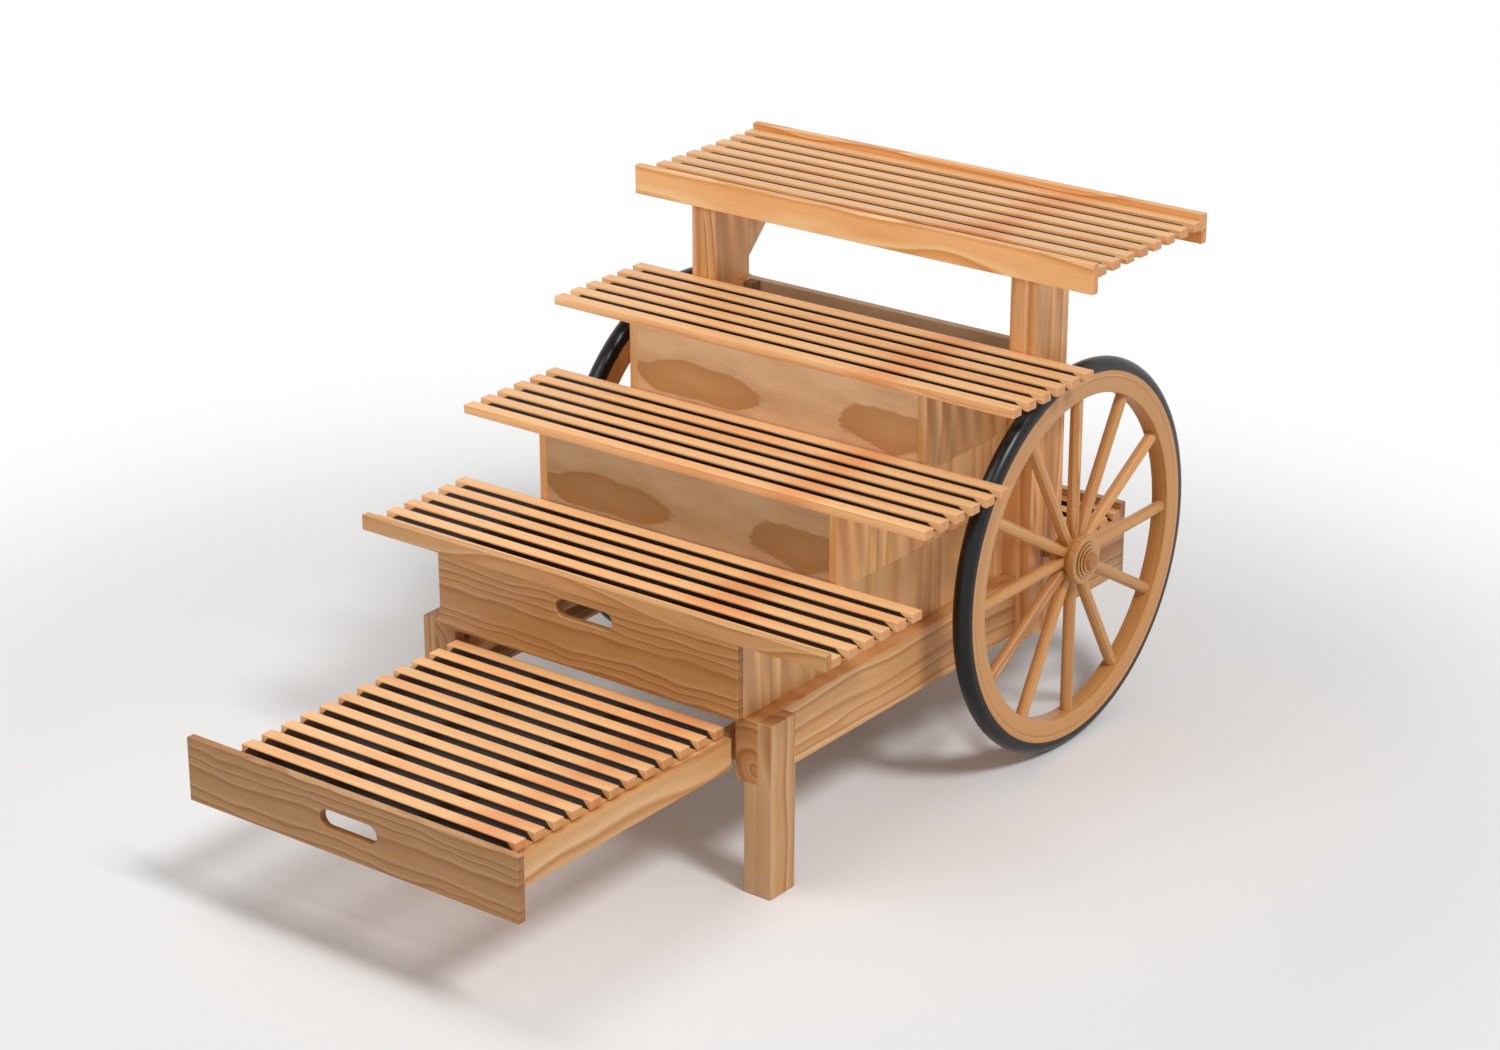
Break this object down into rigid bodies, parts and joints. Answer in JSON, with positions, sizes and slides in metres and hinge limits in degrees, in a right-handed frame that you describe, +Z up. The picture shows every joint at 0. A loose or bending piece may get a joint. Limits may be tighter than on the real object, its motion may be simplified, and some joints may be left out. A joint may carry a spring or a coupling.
{
  "type": "flower cart stand",
  "caption": "Stepped slatted wooden flower cart on spoked wheels and front legs, with a pull-out tray in its base and a raised top shelf.",
  "frame": {"origin": "on the floor under the middle of the stand's outline, with the tray drawn out as it is stored", "axes": "+Z up from the floor; +X to the stand's right-hand wheel, seen from the tray; +Y from the tray to the rear ledge"},
  "size_m": [1.118, 1.9899, 1.0465],
  "materials": {
    "pine_slats": "planed pine, clear satin oil",
    "pine_boards": "planed pine boards, clear satin oil",
    "pine_planks": "planed pine planks, clear satin oil",
    "pine_plywood": "sanded rotary-cut pine plywood, clear satin oil",
    "turned_pine": "turned pine, clear satin oil",
    "black_tyre": "solid black rubber, smooth and slightly glossy",
    "zinc_steel": "zinc-plated steel",
    "bronze_bush": "plain bronze bearing sleeve"
  },
  "bodies": {
    "cart": {"axle": "zinc_steel", "axle_nuts": "zinc_steel", "axle_washers": "zinc_steel", "crate_1_back": "pine_plywood", "crate_1_front": "pine_boards", "crate_1_sides": "pine_boards", "crate_2_back": "pine_plywood", "crate_2_front": "pine_plywood", "crate_2_sides": "pine_boards", "crate_3_back": "pine_plywood", "crate_3_front": "pine_plywood", "crate_3_sides": "pine_boards", "crate_corner_blocks": "pine_boards", "cross_rails": "pine_boards", "lag_screws": "zinc_steel", "ledge_apron": "pine_boards", "ledge_bearer": "pine_boards", "ledge_ribs": "pine_boards", "ledge_slats": "pine_slats", "leg_inner_planks": "pine_planks", "leg_outer_planks": "pine_planks", "post_inner_planks": "pine_planks", "post_outer_planks": "pine_planks", "rear_tie_board": "pine_boards", "shelf_1_apron": "pine_boards", "shelf_1_slats": "pine_slats", "shelf_2_slats": "pine_slats", "shelf_3_bearer": "pine_boards", "shelf_3_slats": "pine_slats", "shelf_ribs": "pine_boards", "side_rail_left": "pine_planks", "side_rail_right": "pine_planks", "top_apron_back": "pine_boards", "top_apron_front": "pine_boards", "top_bearers": "pine_boards", "top_braces": "pine_boards", "top_slats": "pine_slats", "tray_guide_battens": "pine_boards", "tray_guide_blocks": "pine_boards"},
    "tray": {"tray_corner_blocks": "pine_boards", "tray_cross_rail": "pine_boards", "tray_front_panel": "pine_boards", "tray_ribs": "pine_boards", "tray_runners": "pine_boards", "tray_screws": "zinc_steel", "tray_side_boards": "pine_boards", "tray_slats": "pine_slats"},
    "wheel_right": {"wheel_right_bush": "bronze_bush", "wheel_right_cap": "turned_pine", "wheel_right_hub": "turned_pine", "wheel_right_rim": "turned_pine", "wheel_right_spokes": "turned_pine", "wheel_right_tyre": "black_tyre"},
    "wheel_left": {"wheel_left_bush": "bronze_bush", "wheel_left_cap": "turned_pine", "wheel_left_hub": "turned_pine", "wheel_left_rim": "turned_pine", "wheel_left_spokes": "turned_pine", "wheel_left_tyre": "black_tyre"}
  },
  "joints": [
    {"name": "tray_slide", "type": "slide", "parent": "cart", "child": "tray", "axis": [0, 1, 0], "range_m": [0, 0.6515]},
    {"name": "wheel_right_spin", "type": "hinge", "parent": "cart", "child": "wheel_right", "pos_m": [0.4865, 0.58862, 0.4064], "axis": [1, 0, 0], "continuous": true},
    {"name": "wheel_left_spin", "type": "hinge", "parent": "cart", "child": "wheel_left", "pos_m": [-0.4865, 0.58862, 0.4064], "axis": [1, 0, 0], "continuous": true}
  ]
}
